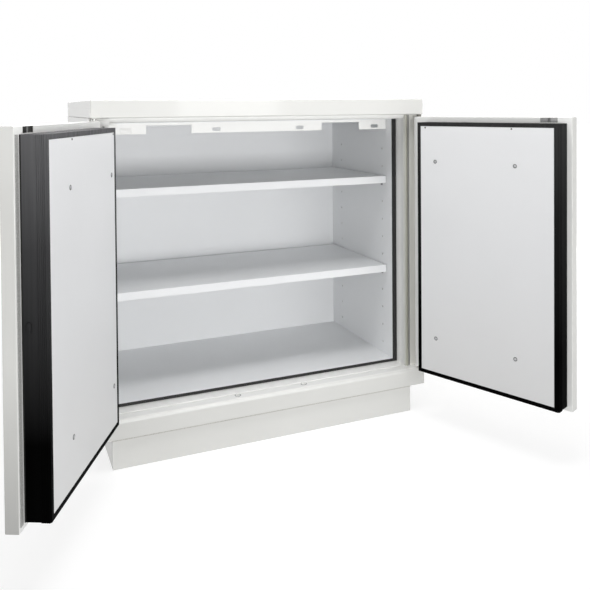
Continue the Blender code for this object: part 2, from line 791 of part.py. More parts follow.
def build_edge_seal(door):
    """A ribbed rubber strip along the free side of the plug, next to its inner face."""
    root_x = door.plug_free - GAP
    valley = root_x - FIN_ROOT
    tip = valley - FIN_HEIGHT
    end = PLUG_FACE - FIN_MARGIN
    start = end - FIN_COUNT * FIN_PITCH
    outline = [(root_x, end), (root_x, start)]
    for i in range(FIN_COUNT):
        foot = start + i * FIN_PITCH
        outline += [(valley, foot), (tip, foot + FIN_PITCH / 4), (tip, foot + FIN_PITCH / 2)]
        outline += [(valley, foot + FIN_PITCH * 3 / 4)]
    outline += [(valley, end)]
    name = f"{door.label}_edge_seal"
    prism_part(name, door.hinge, BLACK_RUBBER, door.flat(outline), "Z", PLUG_LOW_Z, PLUG_HIGH_Z)


def build_rods(door):
    """The bolt or lock case in the hollow of the leaf, a rod up from it and a rod down through the plug."""
    case_low, case_high = LOCK_Z - CASE_HEIGHT / 2, LOCK_Z + CASE_HEIGHT / 2
    front, back = DOOR_FRONT + SHEET + GAP, DOOR_BACK - SHEET - GAP
    case_name = "lock_case" if door.sign > 0 else "bolt_case"
    door.box(case_name, STEEL, (CASE_LOW_X, front, case_low), (CASE_HIGH_X, back, case_high))
    spans = {
        "upper": (UPPER_ROD_X, UPPER_ROD_Y, case_high + GAP, DOOR_HIGH_Z),
        "lower": (LOWER_ROD_X, LOWER_ROD_Y, PLUG_LOW_Z, case_low - GAP),
    }
    for end, (x, y, low, high) in spans.items():
        name = f"{door.label}_{end}_rod"
        axis = make_empty(f"{name}_axis", door.hinge, door.place(x, y, 0))
        mesh = cylinder_mesh(name, [(0, 0, (low + high) / 2)], ROD_RADIUS, "Z", high - low)
        rod = add_part(name, mesh, axis, STEEL)
        smooth(rod)


def build_handle(door, panel):
    """A lever on a spindle through a lock plate on the outer face, turning the rods of the right leaf."""
    plate_front = DOOR_FRONT - GAP - PLATE_THICKNESS
    plate = door.box(
        "lock_plate",
        STEEL,
        (HANDLE_X - PLATE_WIDTH / 2, plate_front, LOCK_Z - PLATE_HEIGHT / 2),
        (HANDLE_X + PLATE_WIDTH / 2, DOOR_FRONT - GAP, LOCK_Z + PLATE_HEIGHT / 2),
    )
    round_edges(plate, PLATE_THICKNESS / 3)
    hole = SPINDLE_RADIUS + GAP
    door.drill(plate, "plate_spindle_hole", HANDLE_X, plate_front, LOCK_Z, hole, "Y", 4 * PLATE_THICKNESS)
    door.drill(panel, "panel_spindle_hole", HANDLE_X, DOOR_FRONT, LOCK_Z, hole, "Y", 3 * SHEET)
    lever_back = plate_front - LEVER_STANDOFF
    lever_front = lever_back - LEVER_THICKNESS
    axis = make_empty("right_handle_axis", door.hinge, door.place(HANDLE_X, 0, LOCK_Z))
    outline = obround((LEVER_LENGTH / 2 - LEVER_WIDTH / 2, 0), LEVER_LENGTH, LEVER_WIDTH)
    mesh = prism_mesh("right_handle", outline, "Y", lever_front, lever_back)
    handle = add_part("right_handle", mesh, axis, STEEL)
    round_edges(handle, LEVER_THICKNESS / 4)
    tip = DOOR_FRONT + SHEET
    start = lever_front + LEVER_THICKNESS / 2
    spindle = cylinder_mesh("right_spindle", [(0, (start + tip) / 2, 0)], SPINDLE_RADIUS, "Y", tip - start)
    combine(handle, add_cutter("right_spindle", spindle, axis), "UNION")


def build_edge_lever(door, frame):
    """A small lever on the free side of the left plug that turns its bolts."""
    face = door.plug_free - GAP
    y = DOOR_BACK + EDGE_LEVER_DEPTH
    hole = EDGE_LEVER_PIN + GAP
    door.drill(frame, "lever_hole", door.plug_free + PLUG_WALL / 2, y, LOCK_Z, hole, "X", 3 * PLUG_WALL)
    axis = make_empty("left_edge_lever_axis", door.hinge, door.place(face, y, LOCK_Z))
    outline = [(v, -u) for u, v in obround((EDGE_LEVER_LENGTH / 2, 0), EDGE_LEVER_LENGTH, EDGE_LEVER_WIDTH)]
    outline = [(v, u + EDGE_LEVER_WIDTH / 2) for v, u in outline]
    mesh = prism_mesh("left_edge_lever", outline, "X", 0, EDGE_LEVER_THICKNESS)
    lever = add_part("left_edge_lever", mesh, axis, BLACK_COAT)
    round_edges(lever, EDGE_LEVER_THICKNESS / 4, 1)
    start, end = -PLUG_WALL, EDGE_LEVER_THICKNESS / 2
    pin = cylinder_mesh("left_lever_pin", [((start + end) / 2, 0, 0)], EDGE_LEVER_PIN, "X", end - start)
    combine(lever, add_cutter("left_lever_pin", pin, axis), "UNION")


def build_meeting_strip(door):
    front = DOOR_BACK + GAP
    low_x = DOOR_FREE + MEETING_STRIP_MARGIN
    door.box(
        "meeting_strip",
        GREY_STRIP,
        (low_x, front, PLUG_LOW_Z),
        (low_x + MEETING_STRIP_WIDTH, front + MEETING_STRIP_THICKNESS, PLUG_HIGH_Z),
    )


def build_door(root, label, sign, open_degrees, free_inset):
    door = Door(root, label, sign, open_degrees, free_inset)
    panel = build_door_panel(door)
    frame = build_plug(door)
    build_edge_seal(door)
    build_rods(door)
    if sign > 0:
        build_handle(door, panel)
    else:
        build_edge_lever(door, frame)
        build_meeting_strip(door)


def main():
    root = make_empty("cabinet_front_plane", None, (0, -DEPTH / 2, 0))
    build_plinth(root)
    build_base(root)
    build_cover(root)
    build_casing(root)
    build_insulation(root)
    build_frame(root)
    build_liner(root)
    build_seal(root)
    build_strip(root)
    build_shelves(root)
    build_pivots(root)
    build_door(root, "left", -1, LEFT_OPEN_DEGREES, LEFT_FREE_INSET)
    build_door(root, "right", 1, RIGHT_OPEN_DEGREES, RIGHT_FREE_INSET)


main()
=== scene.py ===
"""Looks of the fireproof document cabinet: finishes, small hardware, light and camera.

Metres, +Z up, front towards -Y. Places on a door leaf are given closed, as on a drawing of the cabinet:
x outwards from the middle, y back from the front plane. The leaf's own matrix then swings them open.
"""

import json
import math

import bmesh
import bpy
from mathutils import Matrix, Vector


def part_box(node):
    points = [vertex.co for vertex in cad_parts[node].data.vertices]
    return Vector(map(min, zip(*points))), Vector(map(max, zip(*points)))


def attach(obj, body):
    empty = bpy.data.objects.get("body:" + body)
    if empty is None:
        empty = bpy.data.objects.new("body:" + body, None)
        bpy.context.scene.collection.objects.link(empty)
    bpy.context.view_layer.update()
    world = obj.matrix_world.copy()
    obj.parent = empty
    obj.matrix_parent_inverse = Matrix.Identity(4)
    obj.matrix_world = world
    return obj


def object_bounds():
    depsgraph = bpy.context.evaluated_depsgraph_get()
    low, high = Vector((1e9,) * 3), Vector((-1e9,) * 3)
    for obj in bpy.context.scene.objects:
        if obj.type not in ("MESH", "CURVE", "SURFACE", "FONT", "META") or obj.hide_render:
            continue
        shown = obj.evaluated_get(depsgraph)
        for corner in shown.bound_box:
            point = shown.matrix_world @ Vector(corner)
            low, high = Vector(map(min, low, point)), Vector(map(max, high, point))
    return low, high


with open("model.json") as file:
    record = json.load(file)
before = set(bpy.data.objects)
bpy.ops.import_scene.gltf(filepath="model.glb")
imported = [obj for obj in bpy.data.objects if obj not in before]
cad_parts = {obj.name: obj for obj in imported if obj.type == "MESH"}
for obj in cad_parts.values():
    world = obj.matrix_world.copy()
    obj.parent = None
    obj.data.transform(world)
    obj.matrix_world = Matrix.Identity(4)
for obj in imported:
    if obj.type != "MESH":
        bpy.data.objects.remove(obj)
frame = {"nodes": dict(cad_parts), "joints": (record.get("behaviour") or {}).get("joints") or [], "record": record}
CAD_LOW, CAD_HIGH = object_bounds()
NODES = frame["nodes"]
SLOT_OF = {row["node"]: row["material_slot"] for row in frame["record"]["subparts"]}
SIDES = (("left", -1), ("right", 1))

# The photograph's frame and its camera
IMAGE_PIXELS = 590
FOCAL_PIXELS = 706.15
AXIS_ROW_PIXELS = 120.3
SENSOR_MM = 36.0
CAMERA_PLACE = Vector((-0.8633, -2.6130, 1.1352))
CAMERA_YAW = 0.3992
CAMERA_PITCH = 0.0181
CAMERA_ROLL = 0.0078

# Light: each lamp's watts, its width and height, its place and the point it is aimed at
AMBIENT = 0.15
SOFTBOXES = {
    "front_light": (58, (1.8, 0.8), (-0.4, -4.3, 0.6), (0.0, 0.0, 0.7)),
    "over_light": (40, (2.4, 1.0), (0.0, -0.85, 2.8), (0.0, -0.4, 0.0)),
    "right_light": (18, (1.02, 2.4), (1.20, -4.5, 2.15), (1.20, -0.37, 1.7)),
    "low_light": (19, (1.4, 0.7), (1.5, -4.4, 0.55), (0.0, 0.0, 0.7)),
    "side_light": (5, (1.6, 1.6), (3.4, -2.6, 1.9), (0.0, -0.3, 0.8)),
    "left_light": (20, (1.6, 1.6), (-3.48, -3.15, 1.45), (-0.8, -0.9, 1.0)),
    "back_light": (70, (5.0, 2.4), (0.6, 4.0, 2.8), (0.0, 0.4, 0.6)),
    "left_rear_light": (40, (2.6, 1.6), (-2.9, 3.0, 0.95), (-0.7, -0.1, 0.6)),
    "right_rear_light": (42, (3.0, 1.5), (3.6, 1.4, 0.85), (0.7, -0.1, 0.6)),
}

# Floor: its glow goes from one value to the other between two distances from the middle
FLOOR_HALF = 30.0
FLOOR_GAP = 0.0005
FLOOR_GLOW = (0.74, 1.0)
FLOOR_FADE = (1.2, 3.6)
FLOOR_SHADE = 0.35
FLOOR_BOUNCE = 0.5

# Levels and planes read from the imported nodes
FRONT_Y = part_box("top_cover")[0].y
COVER_END_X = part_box("top_cover")[1].x
BASE_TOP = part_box("base_pan")[1].z
PLUG_LEVELS = (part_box("left_plug_frame")[0].z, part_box("left_plug_frame")[1].z)

# Marks between which a paint changes its tone as painted light and shade, as distances from the middle planes and
# the floor
LEDGE_LEVELS = (BASE_TOP - 0.0015, BASE_TOP - 0.0003)
LEAF_FOOT_LEVELS = (BASE_TOP, 0.55)
JAMB_MARKS = (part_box("right_jamb")[0].x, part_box("right_side_casing")[0].x)
JAMB_DEPTHS = (0.300, -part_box("right_jamb")[0].y)

# Cosines between which a surface counts as turned to a direction
FACING_COSINES = (0.6, 0.95)
FORWARD = (0, -1, 0)

# Part of a noise's range that a pair of colours is spread over
NOISE_MARKS = (0.3, 0.7)

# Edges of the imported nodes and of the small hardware
WELD_DISTANCE = 1e-5
FLAT_ANGLE = math.radians(0.5)
SHARP_ANGLE = math.radians(40)
SOFT_EDGE = 0.0006
EDGE_SEGMENTS = 2
FACE_WEIGHT = 100


def joint_named(name):
    return next(joint for joint in frame["joints"] if joint["name"] == name)


class Leaf:
    """A door leaf: turns a place on the closed cabinet into its place on the open leaf at rest."""

    def __init__(self, side, sign):
        hinge = joint_named(f"{side}_door_hinge")
        axis = Vector(hinge["pos_m"])
        closing = hinge["range_deg"][1] if sign < 0 else hinge["range_deg"][0]
        swing = Matrix.Rotation(-math.radians(closing), 4, "Z")
        self.side = side
        self.sign = sign
        self.body = f"{side}_door"
        self.swing = Matrix.Translation(axis) @ swing @ Matrix.Translation(-axis)

    def place(self, x, y, z):
        """The open leaf's matrix at a place on the closed leaf."""
        return self.swing @ Matrix.Translation((self.sign * x, FRONT_Y + y, z))

    def closed_box(self, name):
        """Low and high corner of one of the leaf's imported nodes, closed."""
        node = NODES[f"{self.side}_{name}"]
        back = self.swing.inverted() @ node.matrix_world
        points = [back @ vert.co for vert in node.data.vertices]
        points = [(self.sign * point.x, point.y - FRONT_Y, point.z) for point in points]
        return Vector(map(min, zip(*points))), Vector(map(max, zip(*points)))


LEAVES = [Leaf(side, sign) for side, sign in SIDES]


# Colours
def grey(level):
    return (level, level, level)


def shade(color, factor):
    return tuple(channel * factor for channel in color)


# Node trees
def clear_tree(owner):
    """The empty node tree of a material or a world."""
    owner.use_nodes = True
    owner.node_tree.nodes.clear()
    return owner.node_tree


def new_material(name):
    material = bpy.data.materials.new(name)
    tree = clear_tree(material)
    output = tree.nodes.new("ShaderNodeOutputMaterial")
    shader = tree.nodes.new("ShaderNodeBsdfPrincipled")
    tree.links.new(shader.outputs["BSDF"], output.inputs["Surface"])
    return material, tree, shader


def object_noise(tree, scale, detail, stretch=(1, 1, 1)):
    """Noise in the object's own metres, drawn out along an axis by a small factor there."""
    place = tree.nodes.new("ShaderNodeTexCoord")
    mapping = tree.nodes.new("ShaderNodeMapping")
    mapping.inputs["Scale"].default_value = stretch
    noise = tree.nodes.new("ShaderNodeTexNoise")
    noise.inputs["Scale"].default_value = scale
    noise.inputs["Detail"].default_value = detail
    tree.links.new(place.outputs["Object"], mapping.inputs["Vector"])
    tree.links.new(mapping.outputs["Vector"], noise.inputs["Vector"])
    return noise.outputs["Fac"]


def math_node(tree, operation, *factors):
    node = tree.nodes.new("ShaderNodeMath")
    node.operation = operation
    for socket, factor in zip(node.inputs, factors):
        tree.links.new(factor, socket)
    return node.outputs["Value"]


def spread(tree, factor, low, high, start=0.0, end=1.0):
    """Carries a factor from the range between start and end to the one between low and high."""
    node = tree.nodes.new("ShaderNodeMapRange")
    node.inputs["From Min"].default_value = start
    node.inputs["From Max"].default_value = end
    node.inputs["To Min"].default_value = low
    node.inputs["To Max"].default_value = high
    tree.links.new(factor, node.inputs["Value"])
    return node.outputs["Result"]


def tone_ramp(tree, share, tones):
    """A colour along a share from 0 to 1: marks on the share, each with its colour."""
    along = tree.nodes.new("ShaderNodeValToRGB")
    stops = along.color_ramp.elements
    while len(stops) < len(tones):
        stops.new(0.5)
    for stop, (position, color) in zip(stops, tones):
        stop.position = position
        stop.color = (*color, 1)
    tree.links.new(share, along.inputs["Fac"])
    return along.outputs["Color"]


def noise_ramp(tree, noise, color, factors):
    """A colour that a noise takes from one factor to another."""
    tones = [(mark, shade(color, factor)) for mark, factor in zip(NOISE_MARKS, factors)]
    return tone_ramp(tree, noise, tones)


def multiply(tree, first, second, share=None):
    """One colour times another, or only by a share of it."""
    node = tree.nodes.new("ShaderNodeMix")
    node.data_type = "RGBA"
    node.blend_type = "MULTIPLY"
    node.inputs["Factor"].default_value = 1.0
    if share is not None:
        tree.links.new(share, node.inputs["Factor"])
    tree.links.new(first, node.inputs["A"])
    tree.links.new(second, node.inputs["B"])
    return node.outputs["Result"]


def bump(tree, height, strength, distance, under=None):
    node = tree.nodes.new("ShaderNodeBump")
    node.inputs["Strength"].default_value = strength
    node.inputs["Distance"].default_value = distance
    tree.links.new(height, node.inputs["Height"])
    if under is not None:
        tree.links.new(under, node.inputs["Normal"])
    return node.outputs["Normal"]


def place_share(tree, axis, marks):
    """0 at the lower mark and 1 at the upper one, by distance from a middle plane or from the floor."""
    place = tree.nodes.new("ShaderNodeNewGeometry")
    split = tree.nodes.new("ShaderNodeSeparateXYZ")
    tree.links.new(place.outputs["Position"], split.inputs["Vector"])
    return spread(tree, math_node(tree, "ABSOLUTE", split.outputs[axis]), 0.0, 1.0, *marks)


def facing_share(tree, direction):
    """1 where the object's own surface faces the direction, 0 where it faces aside or away."""
    place = tree.nodes.new("ShaderNodeTexCoord")
    along = tree.nodes.new("ShaderNodeVectorMath")
    along.operation = "DOT_PRODUCT"
    along.inputs[1].default_value = direction
    tree.links.new(place.outputs["Normal"], along.inputs[0])
    return spread(tree, along.outputs["Value"], 0.0, 1.0, *FACING_COSINES)


# Paint: pairs of factors that a noise goes between
PAINT_DRIFT = (0.985, 1.012)
TONED_DRIFT = (0.975, 1.0)
GLOSS_SMEAR = (0.94, 1.06)
PEEL_STRENGTH = 0.10


def paint_drift(tree, color, factors):
    """A slow drift of tone over the sheet."""
    return noise_ramp(tree, object_noise(tree, scale=2.6, detail=3.0), color, factors)


def finish_paint(tree, shader, roughness, peel):
    """Smeared gloss, a slightly wavy sheet and orange peel."""
    low, high = GLOSS_SMEAR
    smear = object_noise(tree, scale=14.0, detail=4.0)
    tree.links.new(spread(tree, smear, roughness * low, roughness * high), shader.inputs["Roughness"])
    waves = object_noise(tree, scale=5.0, detail=1.0)
    wavy = bump(tree, waves, strength=PEEL_STRENGTH * peel, distance=0.004)
    pores = object_noise(tree, scale=620.0, detail=2.0)
    grain = bump(tree, pores, strength=PEEL_STRENGTH * peel, distance=0.0002, under=wavy)
    tree.links.new(grain, shader.inputs["Normal"])


def set_side_roughness(tree, shader, direction, roughness, side_roughness):
    """Another roughness on the faces that turn one way."""
    eased = spread(tree, facing_share(tree, direction), roughness, side_roughness)
    tree.links.new(eased, shader.inputs["Roughness"])


def paint_material(name, color, roughness, peel=1.0, front_roughness=None):
    """Stoved paint on sheet steel, with another roughness on its front where one is given."""
    material, tree, shader = new_material(name)
    tree.links.new(paint_drift(tree, color, PAINT_DRIFT), shader.inputs["Base Color"])
    finish_paint(tree, shader, roughness, peel)
    if front_roughness is not None:
        set_side_roughness(tree, shader, FORWARD, roughness, front_roughness)
    return material


def toned_material(name, tones, roughness, along=None, towards=None, peel=0.5, painted_shade=None, satin=None):
    """Stoved paint whose tone changes along an axis with two marks, or towards a direction, as painted light and
    shade.

    painted_shade holds an axis, two marks on it, a factor at each, and the side that it is kept to or None.
    satin holds a direction and the roughness of the faces that turn there.
    """
    material, tree, shader = new_material(name)
    share = facing_share(tree, towards) if along is None else place_share(tree, *along)
    color = multiply(tree, tone_ramp(tree, share, tones), paint_drift(tree, grey(1.0), TONED_DRIFT))
    # A painted shade that multiplies the tone between two marks
    if painted_shade is not None:
        axis, marks, (start, end), side = painted_shade
        shade_ramp = tone_ramp(tree, place_share(tree, axis, marks), ((0.0, grey(start)), (1.0, grey(end))))
        color = multiply(tree, color, shade_ramp, None if side is None else facing_share(tree, side))
    tree.links.new(color, shader.inputs["Base Color"])
    finish_paint(tree, shader, roughness, peel)
    if satin is not None:
        direction, side_roughness = satin
        set_side_roughness(tree, shader, direction, roughness, side_roughness)
    return material


# Black coating with a painted sheen, lighter towards the plug's head: at the middle mark its tone is the sum of
# both ends' tones, divided by the lag
BLACK_SHEEN_MARKS = (0.2, 0.7, 1.0)
BLACK_SHEEN_LAG = 2.6
BLACK_STREAKS = (0.7, 1.0)
BLACK_ROUGHNESS = (0.44, 0.58)
BLACK_SPECULAR = 0.01

# Other finishes: factors on the tone, and how far the roughness strays
RUBBER_PORES = (0.7, 1.4)
RUBBER_STRAY = 0.08
RUBBER_SPECULAR = 0.3
STEEL_LINES = (0.8, 1.15)
STEEL_SMOOTHER = 0.08
STEEL_ROUGHER = 0.12
BOARD_MOTTLE = (0.8, 1.15)
BOARD_ROUGHNESS = 0.92


def black_material(name, foot, head):
    """Black coating on a plug: a painted sheen, lighter towards its head, faintly drawn along its height."""
    material, tree, shader = new_material(name)
    between = tuple((low + high) / BLACK_SHEEN_LAG for low, high in zip(foot, head))
    tones = tuple(zip(BLACK_SHEEN_MARKS, (foot, between, head)))
    sheen = tone_ramp(tree, place_share(tree, "Z", PLUG_LEVELS), tones)
    streak = object_noise(tree, scale=90.0, detail=3.0, stretch=(1, 1, 0.02))
    drawn = noise_ramp(tree, streak, grey(1.0), BLACK_STREAKS)
    tree.links.new(multiply(tree, sheen, drawn), shader.inputs["Base Color"])
    tree.links.new(spread(tree, streak, *BLACK_ROUGHNESS), shader.inputs["Roughness"])
    shader.inputs["Specular IOR Level"].default_value = BLACK_SPECULAR
    grain = bump(tree, object_noise(tree, scale=800.0, detail=2.0), strength=0.15, distance=0.0002)
    tree.links.new(grain, shader.inputs["Normal"])
    return material


def rubber_material(name, color, roughness):
    """Matt rubber or dull coating with fine pores."""
    material, tree, shader = new_material(name)
    pores = object_noise(tree, scale=450.0, detail=3.0)
    tree.links.new(noise_ramp(tree, pores, color, RUBBER_PORES), shader.inputs["Base Color"])
    matt = spread(tree, pores, roughness - RUBBER_STRAY, roughness + RUBBER_STRAY)
    tree.links.new(matt, shader.inputs["Roughness"])
    shader.inputs["Specular IOR Level"].default_value = RUBBER_SPECULAR
    tree.links.new(bump(tree, pores, strength=0.25, distance=0.0003), shader.inputs["Normal"])
    return material


def steel_material(name, color, roughness, draw):
    """Brushed steel with upright lines, longer where draw is small."""
    material, tree, shader = new_material(name)
    lines = object_noise(tree, scale=700.0, detail=3.0, stretch=(1, 1, draw))
    tree.links.new(noise_ramp(tree, lines, color, STEEL_LINES), shader.inputs["Base Color"])
    brushed = spread(tree, lines, roughness - STEEL_SMOOTHER, roughness + STEEL_ROUGHER)
    tree.links.new(brushed, shader.inputs["Roughness"])
    shader.inputs["Metallic"].default_value = 1.0
    tree.links.new(bump(tree, lines, strength=0.12, distance=0.0002), shader.inputs["Normal"])
    return material


def board_material(name, color):
    """Raw insulating board with chalky mottling."""
    material, tree, shader = new_material(name)
    mottle = object_noise(tree, scale=60.0, detail=6.0)
    tree.links.new(noise_ramp(tree, mottle, color, BOARD_MOTTLE), shader.inputs["Base Color"])
    shader.inputs["Roughness"].default_value = BOARD_ROUGHNESS
    chalk = bump(tree, object_noise(tree, scale=260.0, detail=4.0), strength=0.4, distance=0.0006)
    tree.links.new(chalk, shader.inputs["Normal"])
    return material


# Tones of the paints: the outer tone is the sheet's own colour; the brighter tones are painted light, and the
# cream, sand and olive tones painted shade
OUTER_TONE = (0.73, 0.73, 0.705)
LEDGE_LIGHT_TONE = (0.90, 0.90, 0.88)
WHITE_TONE = (0.97, 0.97, 0.95)
FLANGE_TONE = (0.94, 0.935, 0.89)
CREAM_SHADE_TONE = (0.94, 0.94, 0.90)
SAND_SHADE_TONE = (0.74, 0.74, 0.63)
OLIVE_SHADE_TONE = (0.70, 0.70, 0.58)
# Inner panel tones: painted shade, darker towards the foot of the plug
PANEL_TONES = (
    (0.0, grey(0.735)),
    (0.5, (0.81, 0.815, 0.825)),
    (1.0, (0.88, 0.885, 0.895)),
)
# Right jamb: painted light on its reveal and painted shade of the right door across its front, darkest next to the
# groove
JAMB_TONES = (
    (0.0, WHITE_TONE),
    (0.06, CREAM_SHADE_TONE),
    (0.3, SAND_SHADE_TONE),
    (0.6, OLIVE_SHADE_TONE),
    (0.69, OLIVE_SHADE_TONE),
    (0.73, WHITE_TONE),
)
# Painted shade along the jamb's depth, darker towards its front
JAMB_DEPTH_SHADE = (1.0, 0.58)
# Base: painted light, brighter on the flat top of the ledge than on the base's front
BASE_TONES = ((0.0, OUTER_TONE), (1.0, LEDGE_LIGHT_TONE))
# Side casings: painted light on their forward faces, which lie in the open doors' shade
CASING_TONES = ((0.0, OUTER_TONE), (1.0, FLANGE_TONE))
# Leaves: painted light on the white inner face, and painted shade at the foot of the free edge, deeper on the left
# leaf
LEAF_TONES = ((0.0, OUTER_TONE), (1.0, WHITE_TONE))
LEAF_FOOT = {"left": 0.62, "right": 0.94}
LEAF_SATIN = 0.5


def leaf_paint(leaf):
    """The leaf's sheet: painted light on its inner face, painted shade towards the foot of its free edge, satin
    outside.
    """
    turn = NODES[f"{leaf.side}_door_panel"].matrix_world.inverted().to_3x3() @ leaf.swing.to_3x3()
    inward = (turn @ Vector((0, 1, 0))).normalized()
    free_edge = (turn @ Vector((-leaf.sign, 0, 0))).normalized()
    return toned_material(
        f"{leaf.side}_leaf_paint",
        LEAF_TONES,
        roughness=0.2,
        towards=inward,
        painted_shade=("Z", LEAF_FOOT_LEVELS, (LEAF_FOOT[leaf.side], 1.0), free_edge),
        satin=(-inward, LEAF_SATIN),
    )


WHITE = paint_material("white_stove_paint", (0.75, 0.75, 0.725), roughness=0.21, peel=0.5)
COVER = paint_material(
    "cover_stove_paint", (0.77, 0.77, 0.745), roughness=0.21, peel=0.35, front_roughness=0.07
)
INNER = paint_material("light_grey_stove_paint", (0.86, 0.87, 0.88), roughness=0.40)
FRAME = paint_material("frame_stove_paint", (0.92, 0.92, 0.90), roughness=0.32)
PANEL = toned_material("inner_panel_paint", PANEL_TONES, roughness=0.42, along=("Z", PLUG_LEVELS), peel=1.0)
BASE = toned_material("base_stove_paint", BASE_TONES, roughness=0.18, along=("Z", LEDGE_LEVELS))
CASING = toned_material("casing_stove_paint", CASING_TONES, roughness=0.21, towards=FORWARD)
JAMB = toned_material(
    "jamb_stove_paint",
    JAMB_TONES,
    roughness=0.3,
    along=("X", JAMB_MARKS),
    painted_shade=("Y", JAMB_DEPTHS, JAMB_DEPTH_SHADE, None),
)
# Each plug's head tone is a painted reflection, far lighter on the left plug than on the right
BLACK = {
    "left": black_material("left_black_coating", foot=grey(0.0005), head=(0.15, 0.15, 0.155)),
    "right": black_material("right_black_coating", foot=grey(0.001), head=grey(0.042)),
}
RUBBER = rubber_material("black_rubber_finish", grey(0.018), roughness=0.6)
STRIP = rubber_material("grey_strip_finish", (0.40, 0.40, 0.39), roughness=0.6)
WASHER = rubber_material("washer_finish", grey(0.17), roughness=0.5)
# Dark finish: dark oxide on the studs; painted shade in the key slot, the plug roots, the cup rings and the left
# bolt guide
DARK = rubber_material("dark_oxide_and_shade_finish", (0.006, 0.006, 0.005), roughness=0.6)
# Joint grey, partly a painted shadow line under the base
JOINT = rubber_material("joint_shade_finish", (0.52, 0.51, 0.48), roughness=0.7)
STEEL = steel_material("brushed_steel_finish", (0.36, 0.36, 0.365), roughness=0.5, draw=0.03)
ZINC = steel_material("zinc_plate_finish", (0.50, 0.50, 0.51), roughness=0.42, draw=0.3)
PIN = steel_material("dark_pin_finish", (0.15, 0.145, 0.13), roughness=0.5, draw=0.2)
GUIDE = steel_material("guide_plate_finish", grey(0.34), roughness=0.5, draw=0.3)
BOARD = board_material("fire_board_finish", (0.62, 0.60, 0.55))

FINISH_OF_NODE = {
    "left_inner_panel": PANEL,
    "right_inner_panel": PANEL,
    "left_jamb": FRAME,
    "right_jamb": JAMB,
    "base_pan": BASE,
    "top_cover": COVER,
    "left_side_casing": CASING,
    "right_side_casing": CASING,
    "left_door_panel": leaf_paint(LEAVES[0]),
    "right_door_panel": leaf_paint(LEAVES[1]),
    "left_plug_frame": BLACK["left"],
    "right_plug_frame": BLACK["right"],
    "left_edge_seal": BLACK["left"],
    "right_edge_seal": BLACK["right"],
    "left_edge_lever": BLACK["left"],
    "frame_head": FRAME,
    "frame_sill": FRAME,
    "head_strip": FRAME,
    "left_pivot_top": FRAME,
    "left_pivot_bottom": PIN,
    "right_pivot_top": PIN,
    "right_pivot_bottom": PIN,
}
FINISH_OF_SLOT = {
    "white_paint": WHITE,
    "light_grey_paint": INNER,
    "black_coat": DARK,
    "black_rubber": RUBBER,
    "grey_strip": STRIP,
    "fire_board": BOARD,
    "steel": STEEL,
}


def finish_node(name, node):
    """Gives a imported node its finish, and a narrow round on its folded edges."""
    material = FINISH_OF_NODE.get(name, FINISH_OF_SLOT[SLOT_OF[name]])
    node.data.materials.clear()
    node.data.materials.append(material)
    node.data.shade_smooth()
    weld = node.modifiers.new("weld", "WELD")
    weld.merge_threshold = WELD_DISTANCE
    flat = node.modifiers.new("flat_faces", "DECIMATE")
    flat.decimate_type = "DISSOLVE"
    flat.angle_limit = FLAT_ANGLE
    edge = node.modifiers.new("soft_edges", "BEVEL")
    edge.width = SOFT_EDGE
    edge.segments = EDGE_SEGMENTS
    edge.limit_method = "ANGLE"
    edge.angle_limit = SHARP_ANGLE
    normals = node.modifiers.new("even_normals", "WEIGHTED_NORMAL")
    normals.weight = FACE_WEIGHT


# Meshes of the small hardware
def smooth_mesh(name, shape):
    mesh = bpy.data.meshes.new(name)
    shape.to_mesh(mesh)
    shape.free()
    mesh.shade_smooth()
    mesh.set_sharp_from_angle(angle=SHARP_ANGLE)
    return mesh


def turns(facets):
    return [2 * math.pi * i / facets for i in range(facets)]


def join_loops(shape, lower, upper):
    """A band of faces between two loops that have as many corners."""
    for i in range(len(lower)):
        j = (i + 1) % len(lower)
        shape.faces.new((lower[i], lower[j], upper[j], upper[i]))


def polygon_radius(radius, angle, corners):
    """Distance from the middle of a regular polygon to its edge."""
    step = 2 * math.pi / corners
    return radius * math.cos(step / 2) / math.cos((angle % step) - step / 2)


def turned_mesh(name, rings, facets=24):
    """Rings on +Z from the outside foot to the middle: radius, height, and corners if not round."""
    shape = bmesh.new()
    loops = []
    for radius, height, *corners in rings:
        loop = []
        for angle in turns(facets):
            reach = polygon_radius(radius, angle, corners[0]) if corners else radius
            loop.append(shape.verts.new((reach * math.cos(angle), reach * math.sin(angle), height)))
        loops.append(loop)
    for lower, upper in zip(loops, loops[1:]):
        join_loops(shape, lower, upper)
    shape.faces.new(loops[-1])
    shape.faces.new(reversed(loops[0]))
    return smooth_mesh(name, shape)


def ring_mesh(name, inner, outer, height, facets=32):
    """A flat ring on the +Z axis."""
    shape = bmesh.new()
    loops = []
    for radius, level in ((outer, 0), (outer, height), (inner, height), (inner, 0)):
        places = [(radius * math.cos(angle), radius * math.sin(angle), level) for angle in turns(facets)]
        loops.append([shape.verts.new(place) for place in places])
    for lower, upper in zip(loops, loops[1:] + loops[:1]):
        join_loops(shape, lower, upper)
    return smooth_mesh(name, shape)


def box_mesh(name, size, edge):
    """A block about its middle with rounded edges."""
    shape = bmesh.new()
    bmesh.ops.create_cube(shape, size=1.0)
    bmesh.ops.scale(shape, vec=size, verts=shape.verts)
    edges = shape.edges[:]
    bmesh.ops.bevel(shape, geom=edges, offset=edge, segments=EDGE_SEGMENTS, profile=0.5, affect="EDGES")
    return smooth_mesh(name, shape)


def prism_mesh(name, outline, low, high):
    """A plan outline carried up from one level to another."""
    shape = bmesh.new()
    foot = [shape.verts.new((x, y, low)) for x, y in outline]
    head = [shape.verts.new((x, y, high)) for x, y in outline]
    join_loops(shape, foot, head)
    shape.faces.new(head)
    shape.faces.new(reversed(foot))
    bmesh.ops.recalc_face_normals(shape, faces=shape.faces)
    return smooth_mesh(name, shape)


